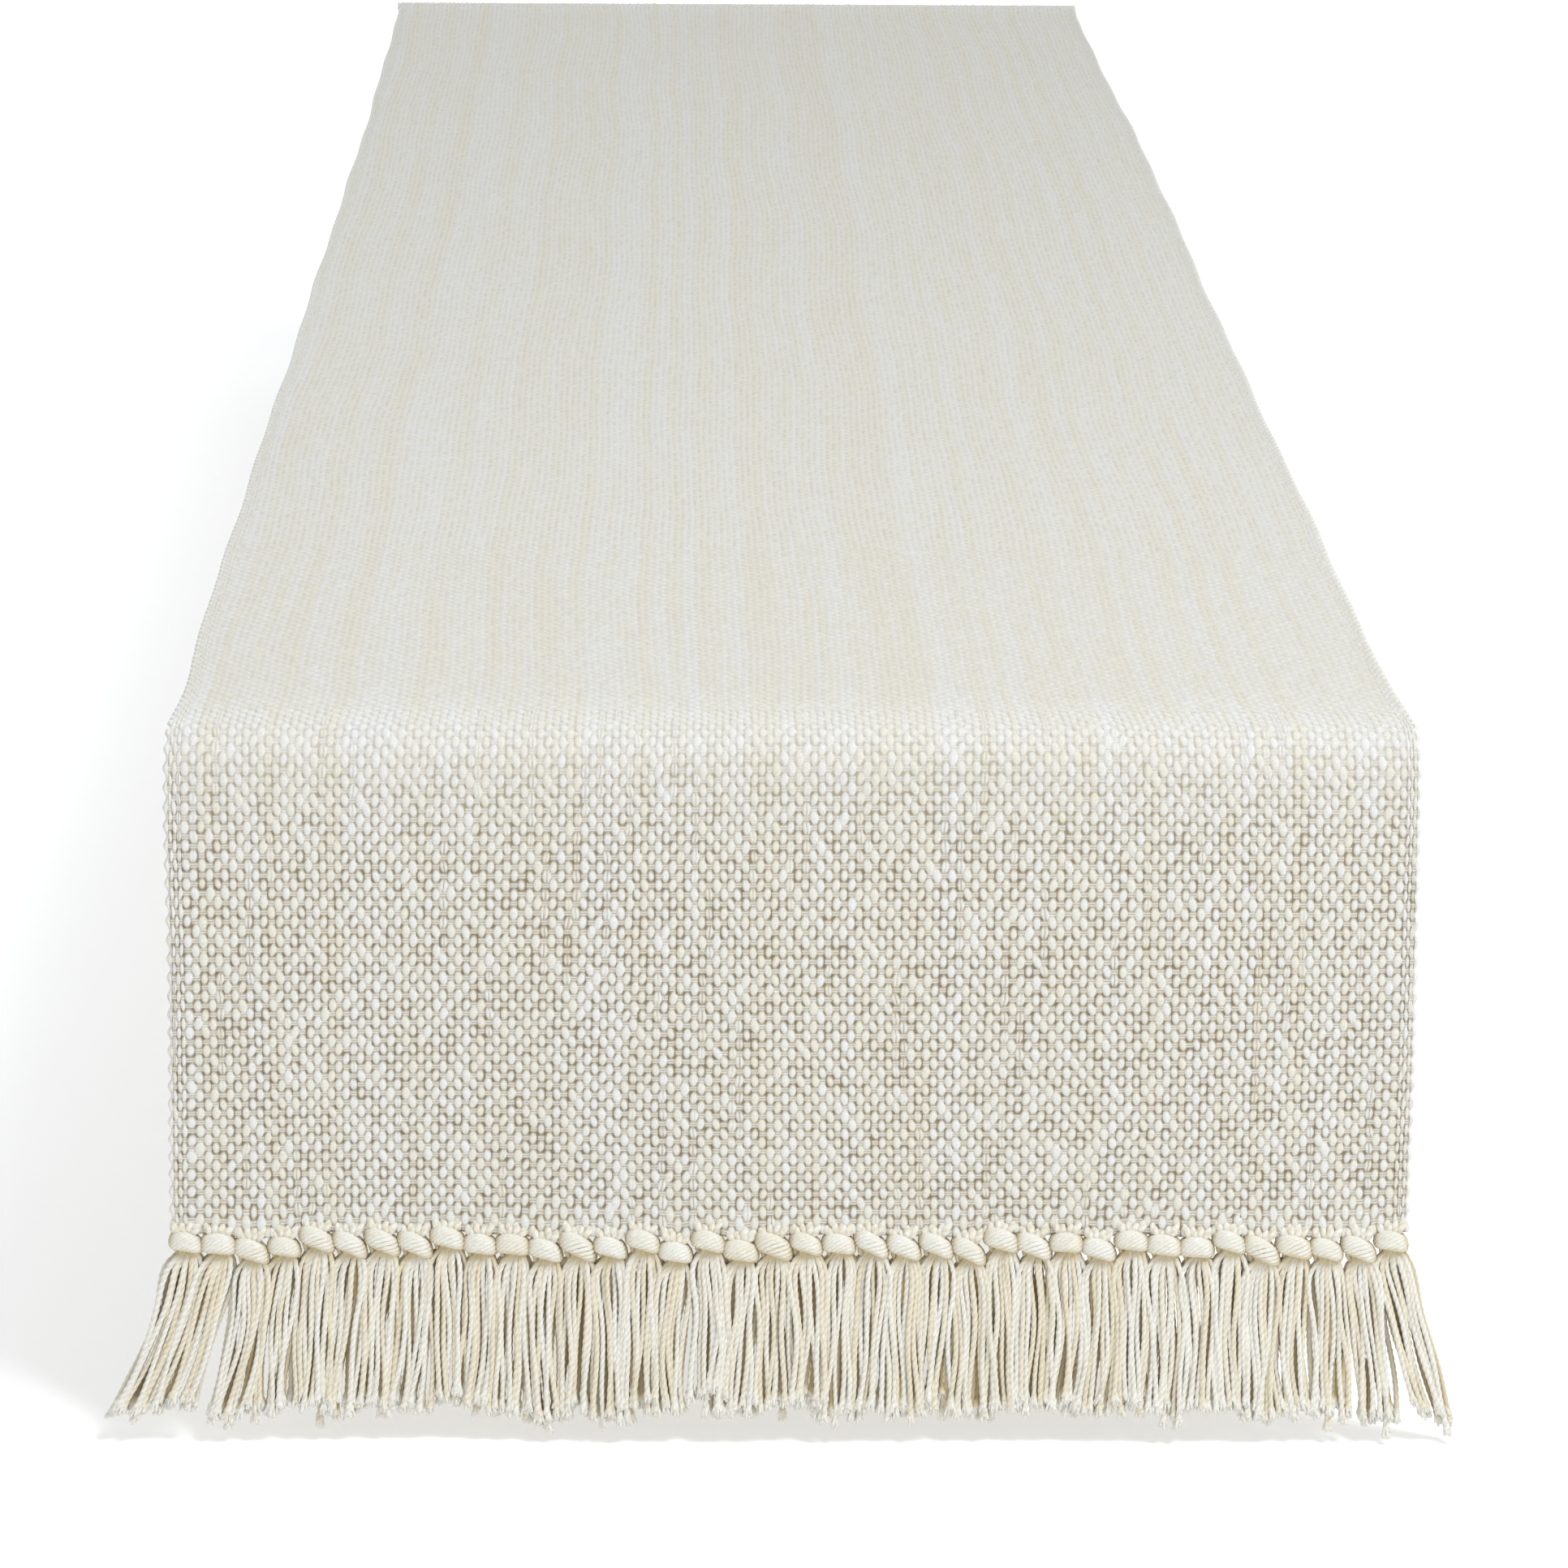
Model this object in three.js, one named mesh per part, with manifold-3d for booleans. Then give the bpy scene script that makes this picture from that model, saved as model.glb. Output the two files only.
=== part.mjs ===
// A woven table runner laid along a table, with both ends hanging over the table's ends and a row of
// knotted tassels along each hanging end. Millimetres, +Z up. The origin is on the tabletop, at the
// middle of the runner. X runs across the runner and Y along it; the front end is at -Y.
import * as THREE from 'three';
import { mergeVertices } from 'three/addons/utils/BufferGeometryUtils.js';
import Module from 'manifold-3d';

// Driving dimensions
const CLOTH_WIDTH = 330;
const CLOTH_THICKNESS = 2;
const TABLE_LENGTH = 1524; // between the table's two end faces, against which the ends hang
const CLOTH_DROP = 135; // from the tabletop down to the end of the cloth
const FOLD_INNER_RADIUS = 9; // how tightly the cloth turns over the table's edge
const SEAM_GAP = 0.3; // between the panels and folds that the one cloth is cut into at its joints

const TASSELS_PER_END = 38;
const TASSEL_LENGTH = 52; // from the end of the cloth to the tips
const TASSEL_GAP = 0.4; // between neighbouring tassels
const YARN_ENDS_START = 1.5; // below the end of the cloth, so that the fringe can swing up clear of it
const CORNER_LEAN = 14; // how far the tip of a corner tassel splays outwards
const LEANING_SHARE = 0.25; // the share of each half width over which the tassels splay
const TASSEL_SIDES = 8;
const TASSEL_FLATNESS = 0.75; // front-to-back depth over width
const BACK_GROUP = 3; // tassels that touch and are one solid, along the back end
const GROUP_OVERLAP = 1.4; // how far the tassels of a group run into each other

const TASSEL_PITCH = CLOTH_WIDTH / TASSELS_PER_END;
const TASSEL_RADIUS = (TASSEL_PITCH - TASSEL_GAP) / 2;
const MIDDLE_Z = CLOTH_THICKNESS / 2;
const FOLD_RADIUS = FOLD_INNER_RADIUS + MIDDLE_Z; // of the cloth's middle surface
const FLAT_HALF_LENGTH = TABLE_LENGTH / 2 - FOLD_INNER_RADIUS;
const HANGING_Y = FLAT_HALF_LENGTH + FOLD_RADIUS; // middle surface of a hanging end

const clothMaterial = () => new THREE.MeshStandardMaterial({ color: '#e8e4d8', roughness: 0.95, metalness: 0 });
const yarnMaterial = () => new THREE.MeshStandardMaterial({ color: '#efe9db', roughness: 0.9, metalness: 0 });

const wasm = await Module();
wasm.setup();

function namedMesh(name, geometry, material) {
  const mesh = new THREE.Mesh(geometry, material);
  mesh.name = name;
  return mesh;
}

/** Joins overlapping closed geometries into one closed geometry. */
function join(geometries) {
  const solids = geometries.map((geometry) => {
    const bare = geometry.clone();
    bare.deleteAttribute('normal');
    bare.deleteAttribute('uv');
    const merged = mergeVertices(bare);
    return new wasm.Manifold(new wasm.Mesh({
      numProp: 3,
      vertProperties: new Float32Array(merged.attributes.position.array),
      triVerts: new Uint32Array(merged.index.array),
    }));
  });
  const { vertProperties, triVerts } = solids.reduce((sum, solid) => sum.add(solid)).getMesh();
  const joined = new THREE.BufferGeometry();
  joined.setAttribute('position', new THREE.BufferAttribute(vertProperties, 3));
  joined.setIndex(new THREE.BufferAttribute(triVerts, 1));
  joined.computeVertexNormals();
  return joined;
}

/** The cloth that lies on the table, flat between the two folds. */
function topPanel() {
  const length = 2 * (FLAT_HALF_LENGTH - SEAM_GAP);
  const mesh = namedMesh('top_panel', new THREE.BoxGeometry(CLOTH_WIDTH, length, CLOTH_THICKNESS), clothMaterial());
  mesh.position.z = MIDDLE_Z;
  return mesh;
}

/** A quarter turn of cloth over the table's end edge, drawn as a ring section and extruded across the width. */
function foldGeometry() {
  const outer = FOLD_INNER_RADIUS + CLOTH_THICKNESS;
  const section = new THREE.Shape();
  section.absarc(0, 0, outer, 0, Math.PI / 2, false);
  section.absarc(0, 0, FOLD_INNER_RADIUS, Math.PI / 2, 0, true);
  section.closePath();
  const geometry = new THREE.ExtrudeGeometry(section, { depth: CLOTH_WIDTH, bevelEnabled: false, curveSegments: 8 });
  const alongY = new THREE.Vector3(0, 1, 0);
  const alongZ = new THREE.Vector3(0, 0, 1);
  const alongX = new THREE.Vector3(1, 0, 0);
  geometry.applyMatrix4(new THREE.Matrix4().makeBasis(alongY, alongZ, alongX));
  geometry.translate(-CLOTH_WIDTH / 2, 0, 0);
  return geometry;
}

/** How far the tip of a tassel at x leans sideways: only near the corners, and most at the corner itself. */
function leanAt(x) {
  const halfWidth = (CLOTH_WIDTH - TASSEL_PITCH) / 2;
  const nearness = THREE.MathUtils.clamp((Math.abs(x) / halfWidth - 1) / LEANING_SHARE + 1, 0, 1);
  return Math.sign(x) * CORNER_LEAN * nearness ** 2;
}

/** One tassel hanging below the end of the cloth at x: gathered yarn ends, a round knot, and a flaring skirt. */
function tasselGeometry(x, radius) {
  const outline = [
    [0, YARN_ENDS_START],
    [0.55 * radius, YARN_ENDS_START],
    [0.9 * radius, 3.8],
    [radius, 6],
    [0.66 * radius, 9.6],
    [radius, 44],
    [0.8 * radius, TASSEL_LENGTH],
    [0, TASSEL_LENGTH],
  ];
  const profile = outline.reverse().map(([out, down]) => new THREE.Vector2(out, -down));
  const geometry = new THREE.LatheGeometry(profile, TASSEL_SIDES, Math.PI / TASSEL_SIDES);
  geometry.rotateX(Math.PI / 2);
  const octagonWidth = Math.cos(Math.PI / TASSEL_SIDES);
  geometry.scale(1 / octagonWidth, TASSEL_FLATNESS, 1);
  geometry.applyMatrix4(new THREE.Matrix4().makeShear(0, 0, 0, 0, -leanAt(x) / TASSEL_LENGTH, 0));
  geometry.translate(x, 0, 0);
  return geometry;
}

const tasselPlaces = Array.from({ length: TASSELS_PER_END }, (_, i) => (i + 0.5) * TASSEL_PITCH - CLOTH_WIDTH / 2);
const twoDigits = (number) => String(number).padStart(2, '0');

/** Every tassel of the front end, each a piece of its own. Number 1 is at -X once the end faces -Y. */
function separateTassels(name) {
  return tasselPlaces.map((x, i) =>
    namedMesh(`${name}_${twoDigits(i + 1)}`, tasselGeometry(-x, TASSEL_RADIUS), yarnMaterial()));
}

/** The tassels of the back end, joined into small groups that touch. */
function groupedTassels(name) {
  const meshes = [];
  for (let first = 0; first < TASSELS_PER_END; first += BACK_GROUP) {
    const places = tasselPlaces.slice(first, first + BACK_GROUP);
    const middle = (places[0] + places.at(-1)) / 2;
    const shrink = (TASSEL_PITCH * places.length - TASSEL_GAP) / (TASSEL_PITCH * places.length + GROUP_OVERLAP);
    const joined = join(places.map((x) => tasselGeometry(x, (TASSEL_PITCH + GROUP_OVERLAP) / 2)));
    joined.translate(-middle, 0, 0);
    joined.scale(shrink, 1, 1);
    joined.translate(middle, 0, 0);
    meshes.push(namedMesh(`${name}_${twoDigits(meshes.length + 1)}`, joined, yarnMaterial()));
  }
  return meshes;
}

/** One hanging end, facing +Y: the fold, the panel that hangs from it, and the tassels below the panel. */
function hangingEnd(side, tassels) {
  const end = new THREE.Group();

  const fold = namedMesh(`${side}_edge_fold`, foldGeometry(), clothMaterial());
  fold.position.set(0, FLAT_HALF_LENGTH, MIDDLE_Z - FOLD_RADIUS);
  end.add(fold);

  const top = MIDDLE_Z - FOLD_RADIUS - SEAM_GAP;
  const height = top + CLOTH_DROP;
  const panelGeometry = new THREE.BoxGeometry(CLOTH_WIDTH, CLOTH_THICKNESS, height);
  const panel = namedMesh(`${side}_drop_panel`, panelGeometry, clothMaterial());
  panel.position.set(0, HANGING_Y, top - height / 2);
  end.add(panel);

  const fringe = new THREE.Group();
  fringe.position.set(0, HANGING_Y, -CLOTH_DROP);
  fringe.add(...tassels);
  end.add(fringe);
  return end;
}

const runner = new THREE.Group();
runner.add(topPanel());

const frontEnd = hangingEnd('front', separateTassels('front_tassel'));
frontEnd.rotation.z = Math.PI;
runner.add(frontEnd);
runner.add(hangingEnd('back', groupedTassels('back_tassels')));

export default runner;
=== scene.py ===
import math

import bpy
import numpy as np
from mathutils import Matrix, Vector


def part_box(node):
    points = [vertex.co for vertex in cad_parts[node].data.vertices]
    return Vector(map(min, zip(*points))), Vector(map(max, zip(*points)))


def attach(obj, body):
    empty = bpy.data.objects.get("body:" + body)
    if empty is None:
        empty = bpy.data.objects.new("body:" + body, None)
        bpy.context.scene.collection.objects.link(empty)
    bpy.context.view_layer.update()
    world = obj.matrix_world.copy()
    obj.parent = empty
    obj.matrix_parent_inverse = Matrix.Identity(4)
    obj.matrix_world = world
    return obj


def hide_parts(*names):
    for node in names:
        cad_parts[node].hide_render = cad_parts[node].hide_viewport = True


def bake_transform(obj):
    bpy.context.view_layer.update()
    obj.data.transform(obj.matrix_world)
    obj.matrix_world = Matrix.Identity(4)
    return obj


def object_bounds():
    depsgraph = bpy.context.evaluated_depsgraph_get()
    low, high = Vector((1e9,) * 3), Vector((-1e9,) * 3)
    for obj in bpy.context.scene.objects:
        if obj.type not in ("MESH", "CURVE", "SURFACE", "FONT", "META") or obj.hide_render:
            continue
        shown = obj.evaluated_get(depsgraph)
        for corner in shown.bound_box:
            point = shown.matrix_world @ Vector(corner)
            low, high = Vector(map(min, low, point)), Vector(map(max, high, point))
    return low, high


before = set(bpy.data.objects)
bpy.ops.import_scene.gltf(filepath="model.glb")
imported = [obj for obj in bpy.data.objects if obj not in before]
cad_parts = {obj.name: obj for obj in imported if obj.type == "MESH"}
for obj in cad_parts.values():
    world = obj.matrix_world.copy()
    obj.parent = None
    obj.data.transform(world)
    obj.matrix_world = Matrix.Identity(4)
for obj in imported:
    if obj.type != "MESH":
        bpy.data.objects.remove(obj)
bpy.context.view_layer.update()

# A cream basket-weave table runner, draped over both ends of a table, with a row of knotted tassels
# at each end. Metres, +Z up. Across the cloth is X. Along the cloth is s, measured on the cloth's
# middle surface from the middle of the runner, negative towards the front end, which hangs at -Y.

MM = 0.001
TOP_LOW, TOP_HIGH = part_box("top_panel")
FOLD_LOW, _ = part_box("back_edge_fold")
DROP_LOW, DROP_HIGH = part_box("back_drop_panel")
TASSEL_LOW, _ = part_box("front_tassel_20")

# Cloth
WIDTH = TOP_HIGH.x - TOP_LOW.x
MIDDLE_Z = (TOP_LOW.z + TOP_HIGH.z) / 2
HANG_Y = (DROP_LOW.y + DROP_HIGH.y) / 2
FOLD_START = FOLD_LOW.y
FOLD_RADIUS = HANG_Y - FOLD_START
FOLD_END = FOLD_START + FOLD_RADIUS * math.pi / 2
CLOTH_END_Z = DROP_LOW.z
CLOTH_END = FOLD_END + (MIDDLE_Z - FOLD_RADIUS - CLOTH_END_Z)
WARP_PITCH = 2.0 * MM    # between bundles, each of two warp yarns
WEFT_PITCH = 2.58 * MM   # between rows, each of two weft yarns
SELVEDGE_YARNS = 4       # single warp yarns along each side
SEAM_ROWS = 62           # weft rows between each end of the cloth and the seam to its top piece
RELIEF = 0.70 * MM       # height of a warp bundle over the gaps beside it
GAP_LEVEL = 0.30 * MM    # height of those gaps over the cloth's middle surface
UNDERSIDE = 0.9 * MM     # from the middle surface down to the lower face
CREAM_BAND = 0.25        # bundles of one yarn colour that lie side by side after the first, on average
OVAL_HALF_WIDTH = 0.61   # of a warp bundle where it shows, in columns
OVAL_HALF_LENGTH = 0.84  # and in rows
OVAL_POINT = 1.6         # power that shapes the bundle's ends: 2 is round, and 1 is pointed
OVAL_DOME = 0.66         # power that shapes its top: 0.5 is round, and less is flatter
GROOVE_REACH = 0.10      # of the groove between its two yarns, to either side of its middle
GAP_SHADE_BELOW = 0.66         # share of a bundle's height under which painted shade in the gaps beside it begins
BAR_HEIGHT = 0.46        # of the weft yarns, as a share of the height of a warp bundle
TABLE_GAP_SHADE = 0.60          # share of the painted gap shade that is kept where the cloth lies on the table
TABLE_SHADE_CONTRAST = 0.30     # share of the unevenness of that painted shade that is kept there
FOLD_SHADE_CUT = 0.60      # share of the painted gap shade taken away at the bend over the table's edge
RIM_WIDTH = 0.9 * MM     # width of the rounded rim along the cloth's free edges
EDGE_LOOP = 0.45 * MM    # how far the weft's loops stand out of a side edge
END_SAG = 1.3 * MM       # how far the last rows slip down into the knots
NARROWER = 0.016         # how much narrower the tensioned cloth on the table is than its free ends

# Tassels
TASSELS = 38
GROUP = 3                # tassels in one node of the back end
PITCH = WIDTH / TASSELS
TASSEL_LENGTH = CLOTH_END_Z - TASSEL_LOW.z
STRANDS_IN_FRONT = 8
STRANDS_BEHIND = 8
STRAND_RADIUS = 0.69 * MM
STRAND_TWIST = 4.4 * MM  # length of one full turn of the two plies
KNOT_DEPTH = 3.3 * MM    # from the end of the cloth down to the middle of a knot
NECK_DEPTH = 6.6 * MM    # and to the neck below it, where the skirt begins
NECK_HALF_WIDTH = 2.3 * MM
FAN_LENGTH = 7.0 * MM    # from the neck down to where the strands have spread out
LAYER_DEPTH = 0.85 * MM  # from the middle of the skirt out to its front or rear layer of strands
FRAYED_TIP = 3.0 * MM    # of a tassel's length, where its strands end in loose fibres
CORNER_LEAN = 14 * MM    # how far the tips of a corner tassel splay outwards
LEANING_SHARE = 0.25     # of each half width, over which the tassels splay

# Camera, in front of the table's end and a little above it. The angles are in degrees.
CAMERA_PLACE = (-0.0318, -2.4339, 0.4018)
CAMERA_YAW, CAMERA_PITCH, CAMERA_ROLL = 1.01, 13.918, 0.40
CAMERA_LENS = 150.9      # mm, on a sensor 36 mm wide


def smooth(x, start, end):
    """0 before start, 1 after end, and a smooth step between."""
    t = np.clip((x - start) / (end - start), 0, 1)
    return t * t * (3 - 2 * t)


# ---------------------------------------------------------------- meshes

def new_object(name, points, corners, counts, material, attributes):
    """A smooth mesh object: corners lists the polygons' vertices one polygon after another, and counts
    says how many corners each has. attributes maps a name to one float, or one vector, per vertex."""
    mesh = bpy.data.meshes.new(name)
    mesh.vertices.add(len(points))
    mesh.vertices.foreach_set("co", points.astype(np.float32).ravel())
    mesh.loops.add(len(corners))
    mesh.loops.foreach_set("vertex_index", corners.astype(np.int32))
    mesh.polygons.add(len(counts))
    starts = np.concatenate([[0], np.cumsum(counts)[:-1]])
    mesh.polygons.foreach_set("loop_start", starts.astype(np.int32))
    mesh.update(calc_edges=True)
    mesh.polygons.foreach_set("use_smooth", np.ones(len(counts), bool))
    for key, values in attributes.items():
        if values.ndim == 1:
            layer = mesh.attributes.new(key, "FLOAT", "POINT")
            layer.data.foreach_set("value", values.astype(np.float32))
        else:
            layer = mesh.attributes.new(key, "FLOAT_VECTOR", "POINT")
            layer.data.foreach_set("vector", values.astype(np.float32).ravel())
    mesh.materials.append(material)
    piece = bpy.data.objects.new(name, mesh)
    bpy.context.scene.collection.objects.link(piece)
    return piece


def ring_faces(rings, sides, caps=None):
    """Quads between neighbouring closed rings of vertices. caps lists the polygons over the first ring,
    each turned as the ring is; without it one polygon closes each end."""
    k = np.arange(sides)
    across = np.stack([k, np.roll(k, -1)], axis=1)
    first = (np.arange(rings - 1) * sides)[:, None]
    quads = np.stack(
        [
            first + across[None, :, 0],
            first + across[None, :, 1],
            first + sides + across[None, :, 1],
            first + sides + across[None, :, 0],
        ],
        axis=2,
    ).reshape(-1)
    caps = [k] if caps is None else caps
    start_caps = [cap[::-1] for cap in caps]
    end_caps = [cap + (rings - 1) * sides for cap in caps]
    corners = np.concatenate([quads, *start_caps, *end_caps])
    cap_counts = [len(cap) for cap in caps]
    counts = np.concatenate([np.full((rings - 1) * sides, 4), cap_counts, cap_counts])
    return corners, counts


# ---------------------------------------------------------------- weave

def warp_edges():
    """Across the width, where each column of warp begins and ends: single yarns in the selvedges and
    pairs of yarns between them."""
    selvedge = np.full(SELVEDGE_YARNS, WARP_PITCH / 2)
    inner = WIDTH - 2 * selvedge.sum()
    pairs = round(inner / WARP_PITCH)
    pairs += 1 - pairs % 2
    widths = np.concatenate([selvedge, np.full(pairs, inner / pairs), selvedge])
    return np.concatenate([[0], np.cumsum(widths)]) - WIDTH / 2


def weft_edges():
    """Along one half of the cloth, where each row of weft begins and ends. The rows are beaten closer
    together towards the end."""
    rows = round(CLOTH_END / WEFT_PITCH)
    row = np.arange(rows)
    closeness = 1.025 - 0.075 * smooth(row, rows - 50, rows)
    uneven = 1 + 0.02 * RNG.standard_normal(rows)
    pitches = closeness * uneven
    return np.concatenate([[0], np.cumsum(pitches)]) * CLOTH_END / pitches.sum()


RNG = np.random.default_rng(38)
WARP = warp_edges()
COLUMNS = len(WARP) - 1
HALF_WEFT = weft_edges()
HALF_ROWS = len(HALF_WEFT) - 1
WEFT = np.concatenate([-HALF_WEFT[:0:-1], HALF_WEFT])
ROWS = 2 * HALF_ROWS


def yarn_bands(count, mean_length):
    """A colour for each yarn bundle, from 0 for white to 1 for cream, in bands of a few bundles."""
    colours = np.empty(count)
    at = 0
    while at < count:
        length = 1 + RNG.poisson(mean_length)
        colours[at:at + length] = RNG.choice([0.2, 0.4, 0.65, 0.85], p=[0.34, 0.26, 0.24, 0.16])
        at += length
    return colours


def drift(rows):
    """A random value for each bundle, with 0 as the mean and 1 as the spread, that changes slowly over
    the given number of rows along each column."""
    window = np.hanning(rows + 2)[1:-1]
    window = window / np.sqrt((window ** 2).sum())
    draws = RNG.standard_normal((COLUMNS, ROWS + rows - 1))
    return np.stack([np.convolve(line, window, "valid") for line in draws])


WARP_MIDDLE = (WARP[:-1] + WARP[1:]) / 2
WARP_WIDTH = np.diff(WARP)
WARP_COLOUR = yarn_bands(COLUMNS, CREAM_BAND)
WEFT_COLOUR = 0.35 + 0.2 * RNG.standard_normal(ROWS)
SPLIT = np.clip(0.10 + 0.5 * (drift(24) - 0.8), 0.08, 0.7)
SHIFT_X = 0.05 * RNG.standard_normal((COLUMNS, ROWS))
SHIFT_Y = 0.05 * RNG.standard_normal((COLUMNS, ROWS))
SLANT = 0.11 * RNG.standard_normal((COLUMNS, ROWS))
SIZE = 1 + 0.06 * RNG.standard_normal((COLUMNS, ROWS))
BUNDLE_COLOUR = 0.14 * RNG.standard_normal((COLUMNS, ROWS)) + 0.14 * drift(40)


def warp_over(column, row):
    return (column + row) % 2 == 0


def bundle(column, row, place, along):
    """Height, from 0 to 1, of the warp bundle that shows at a crossing: a long oval with a groove
    between its two yarns. along runs from -0.5 to 0.5 over the row, and on past its neighbours."""
    inside = (column >= 0) & (column < COLUMNS)
    column = np.clip(column, 0, COLUMNS - 1)
    row = np.clip(row, 0, ROWS - 1)
    size = SIZE[column, row]
    across = (place - WARP_MIDDLE[column]) / WARP_WIDTH[column]
    x = across - SHIFT_X[column, row] - SLANT[column, row] * along
    y = along - SHIFT_Y[column, row]
    reach = (x / (OVAL_HALF_WIDTH * size)) ** 2 + np.abs(y / (OVAL_HALF_LENGTH * size)) ** OVAL_POINT
    dome = np.clip(1 - reach, 0, 1) ** OVAL_DOME
    groove = SPLIT[column, row] * np.exp(-((x / GROOVE_REACH) ** 2))
    return np.where(inside, size * dome * (1 - groove), 0)


def weft_bars(column, place, along):
    """Height, from 0 to 1, of the two weft yarns that show side by side between warp bundles, and the
    painted shade in the grooves beside them, darker the lower a place lies."""
    across = (place - WARP_MIDDLE[column]) / WARP_WIDTH[column]
    shown = smooth(np.abs(along), 0.33, 0.24) * smooth(np.abs(across), 0.47, 0.36)
    roundness = 0.45 + 0.55 * np.abs(np.sin(4 * math.pi * along))
    # The second value is painted shade in the grooves around and between the two weft yarns.
    return BAR_HEIGHT * shown * roundness, 1 - shown * roundness


def weave(column, row, place, along):
    """Relief, painted gap shade and yarn colour, each from 0 to 1, at each given place on the cloth."""
    over = warp_over(column, row)
    height = np.where(over, bundle(column, row, place, along), 0)
    owner_column, owner_row = column, row
    for column_step, row_step in ((0, -1), (0, 1), (-1, 0), (1, 0)):
        tail = np.where(over, 0, bundle(column + column_step, row + row_step, place, along - row_step))
        owner_column = np.where(tail > height, column + column_step, owner_column)
        owner_row = np.where(tail > height, row + row_step, owner_row)
        height = np.maximum(height, tail)
    bars, bars_gap_shade = weft_bars(column, place, along)
    bars = np.where(over, 0, bars)
    owner_row = np.clip(owner_row, 0, ROWS - 1)
    warp_tint = WARP_COLOUR[owner_column] + BUNDLE_COLOUR[owner_column, owner_row]
    tint = np.where(height >= bars, warp_tint, WEFT_COLOUR[row])
    # Painted shade in the gaps: darker the lower a place lies below the top of the bundle beside it.
    gap_shade = np.where(height >= bars, np.clip(1 - height / GAP_SHADE_BELOW, 0, 1) ** 1.1, bars_gap_shade)
    return np.maximum(height, bars), gap_shade, np.clip(tint, 0, 1)


def mean_gap_shade():
    """The mean painted gap shade of the woven surface, from places all over it."""
    count = 40000
    column = RNG.integers(0, COLUMNS, count)
    row = RNG.integers(0, ROWS, count)
    place = WARP_MIDDLE[column] + WARP_WIDTH[column] * RNG.uniform(-0.5, 0.5, count)
    _, gap_shade, _ = weave(column, row, place, RNG.uniform(-0.5, 0.5, count))
    return gap_shade.mean()


MEAN_GAP_SHADE = mean_gap_shade()


def samples(edges, first, last, per_cell):
    """Places from edge first to edge last, with the given number in each cell: (place, cell, share of
    the cell from -0.5 to 0.5)."""
    per_cell = np.broadcast_to(per_cell, last - first)
    cell = np.repeat(np.arange(first, last), per_cell)
    share = np.concatenate([np.arange(count) / count for count in per_cell])
    place = edges[cell] + share * (edges[cell + 1] - edges[cell])
    place = np.append(place, edges[last])
    cell = np.append(cell, last - 1)
    share = np.append(share, 1.0)
    return place, cell, share - 0.5


# ---------------------------------------------------------------- drape

def hang_ripple(x, hanging):
    """How far the hanging cloth stands off its flat place: slow folds that grow downwards."""
    folds = 0.9 * MM * np.sin(x / 0.021 + 0.6) + 0.7 * MM * np.sin(x / 0.047 + 2.0)
    return folds * smooth(hanging, 0.01, 0.12)


def side_sway(s):
    """How far the cloth lies to one side along its length, as a soft cloth laid by hand does."""
    return 0.7 * MM * np.sin(s / 0.17 + 0.8) + 0.25 * MM * np.sin(s / 0.043)


def warp_wander(x, s):
    """How far the warp strays to one side of its straight line."""
    slow = 1.1 * MM * np.sin(x / 0.027 + 1.0) * np.sin(s / 0.055 + x / 0.09)
    quick = 0.3 * MM * np.sin(x / 0.013 + s / 0.041) * np.sin(s / 0.021 + 2.0)
    return slow + quick


def weft_wander(x, s):
    """How far the weft strays along the cloth from its straight line. It is straight at the very end."""
    free = smooth(CLOTH_END - np.abs(s), 0, 30 * MM)
    return 0.6 * MM * free * np.sin(x / 0.045 + 0.5) * np.sin(s / 0.031 + 1.0)


def edge_wave(s, side):
    """How far a side edge stands out, from the pull of the weft and from its loops."""
    return 0.25 * MM * np.sin(s / 0.019 + 2.1 * side) + 0.4 * MM * np.sin(s / 0.11 - side)


def knot_drop(facing):
    """How far each tassel of an end hangs below or above the row."""
    draws = np.random.default_rng(5 + facing).standard_normal(TASSELS)
    return np.clip(1.0 * MM * draws, -1.6 * MM, 1.6 * MM)


TASSEL_X = (np.arange(TASSELS) + 0.5) * PITCH - WIDTH / 2
KNOT_DROP = {facing: knot_drop(facing) for facing in (-1, 1)}


def drape(x, s, height):
    """Places flat cloth over the table: x across, s along, height over the middle surface."""
    facing = np.where(s < 0, -1.0, 1.0)
    run = np.abs(s)
    turn = np.clip((run - FOLD_START) / FOLD_RADIUS, 0, math.pi / 2)
    hanging = np.clip(run - FOLD_END, 0, None)
    ripple = hang_ripple(x * facing, hanging)
    pull = np.where(
        facing < 0, np.interp(x, TASSEL_X, KNOT_DROP[-1]), np.interp(x, TASSEL_X, KNOT_DROP[1])
    )
    low = smooth(run, CLOTH_END - 10 * MM, CLOTH_END) * (0.75 * pull + END_SAG)
    lying = np.minimum(run, FOLD_START)
    y = lying + FOLD_RADIUS * np.sin(turn) + height * np.sin(turn) + ripple
    z = MIDDLE_Z - FOLD_RADIUS * (1 - np.cos(turn)) - hanging - low + height * np.cos(turn)
    return np.stack([x, facing * y, z], axis=-1)


def levelled(gap_shade, rings_in_row):
    """The painted gap shade, with the same mean over the rows that have many rings as over those that
    have few.
    """
    in_row = np.repeat(rings_in_row, rings_in_row)
    for density in np.unique(rings_in_row):
        rings = np.append(in_row, density) == density
        gap_shade[rings] *= MEAN_GAP_SHADE / gap_shade[rings].mean()
    return gap_shade


def hangs_free(s):
    """0 where the cloth lies taut on the table, and 1 where it hangs."""
    return smooth(np.abs(s), FOLD_START - 50 * MM, FOLD_END + 20 * MM)


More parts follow.
